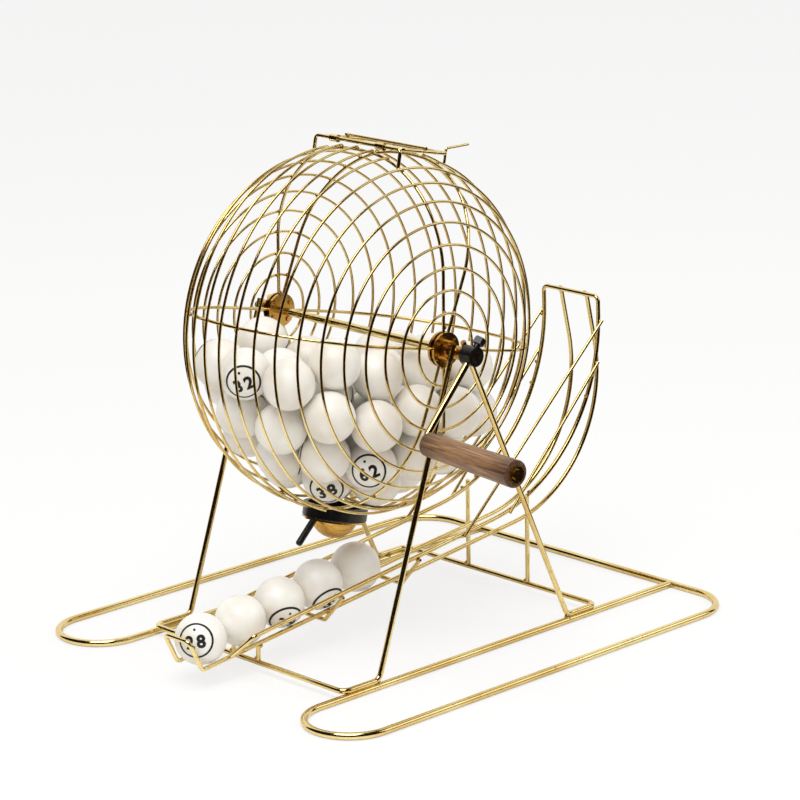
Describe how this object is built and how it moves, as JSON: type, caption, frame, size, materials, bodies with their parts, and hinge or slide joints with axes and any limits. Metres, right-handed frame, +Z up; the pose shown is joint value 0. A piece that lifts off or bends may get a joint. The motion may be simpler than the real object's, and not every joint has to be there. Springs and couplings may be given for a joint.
{
  "type": "bingo cage",
  "caption": "Brass wire bingo cage that turns on an axle in a wire frame, with crank, filling door, outlet gate, numbered balls and a curved ball chute.",
  "frame": {"origin": "on the table surface, under the middle of the cage", "axes": "+X to the back of the frame, where the chute curves up; -Y to the crank side; +Z up; the axle lies along Y"},
  "size_m": [0.2507, 0.232, 0.219],
  "materials": {
    "brass_wire": "bright plated wire",
    "turned_brass": "turned and pressed, polished",
    "black_metal": "black enamel",
    "spring_steel": "plain wire",
    "grip_wood": "stained and oiled",
    "ball_white": "smooth, printed"
  },
  "bodies": {
    "frame": {"base_wire": "brass_wire", "front_leg_wire": "brass_wire", "rear_leg_wire": "brass_wire", "near_axle_bearing": "turned_brass", "far_axle_bearing": "turned_brass", "side_rail_wire": "brass_wire", "floor_rail_wire": "brass_wire", "front_chute_rib": "brass_wire", "rear_chute_rib": "brass_wire", "near_front_riser": "brass_wire", "far_front_riser": "brass_wire", "near_rear_post": "brass_wire", "far_rear_post": "brass_wire", "near_short_brace": "brass_wire", "far_short_brace": "brass_wire", "near_long_brace": "brass_wire", "far_long_brace": "brass_wire"},
    "cage": {"axle": "brass_wire", "near_hub": "turned_brass", "far_hub": "turned_brass", "near_clamp_disc": "turned_brass", "far_clamp_disc": "turned_brass", "hub_rivets": "turned_brass", "belly_ring": "brass_wire", "ring_pair_1": "brass_wire", "ring_pair_2": "brass_wire", "ring_pair_3": "brass_wire", "ring_pair_4": "brass_wire", "ring_pair_5": "brass_wire", "ring_pair_6": "brass_wire", "ring_pair_7": "brass_wire", "ring_pair_8": "brass_wire", "ring_pair_9": "brass_wire", "ring_pair_10": "brass_wire", "door_rib_front": "brass_wire", "door_rib_rear": "brass_wire", "side_rib_rear": "brass_wire", "outlet_rib_rear": "brass_wire", "outlet_rib_front": "brass_wire", "side_rib_front": "brass_wire", "outlet_collar": "black_metal", "gate_pin": "turned_brass", "gate_spring": "spring_steel", "door_hinge_rod": "brass_wire", "crank_boss": "black_metal", "crank_screw": "black_metal", "crank_arm": "brass_wire", "grip_washer": "turned_brass"},
    "filling_door": {"door_frame": "brass_wire", "door_bar": "brass_wire", "door_sleeves": "brass_wire", "door_latch": "brass_wire"},
    "gate": {"gate_cap": "turned_brass", "gate_lever": "black_metal"},
    "grip": {"grip": "grip_wood"},
    "ball_heap": {"ball_heap": "ball_white"},
    "drawn_balls": {"drawn_balls": "ball_white"}
  },
  "joints": [
    {"name": "cage_spin", "type": "hinge", "parent": "frame", "child": "cage", "pos_m": [0, 0, 0.136], "axis": [0, 1, 0], "continuous": true},
    {"name": "door_hinge", "type": "hinge", "parent": "cage", "child": "filling_door", "pos_m": [0.00159, 0, 0.2174], "axis": [0, -1, 0], "range_deg": [0, 170]},
    {"name": "gate_swing", "type": "hinge", "parent": "cage", "child": "gate", "pos_m": [-0.01719, 0.0149, 0.05511], "axis": [-0.2079, 0, -0.9781], "range_deg": [0, 110], "stiffness_Nm_per_rad": 0.004, "springref_deg": -20.05},
    {"name": "grip_spin", "type": "hinge", "parent": "cage", "child": "grip", "pos_m": [-0.02877, -0.0682, 0.10472], "axis": [-0.1097, -0.994, 0], "continuous": true},
    {"name": "heap_swing", "type": "hinge", "parent": "frame", "child": "ball_heap", "pos_m": [0, 0, 0.136], "axis": [0, 1, 0], "range_deg": [-20, 20]},
    {"name": "drawn_slide", "type": "slide", "parent": "frame", "child": "drawn_balls", "axis": [0.9935, 0, 0.1142], "range_m": [0, 0.02]}
  ]
}
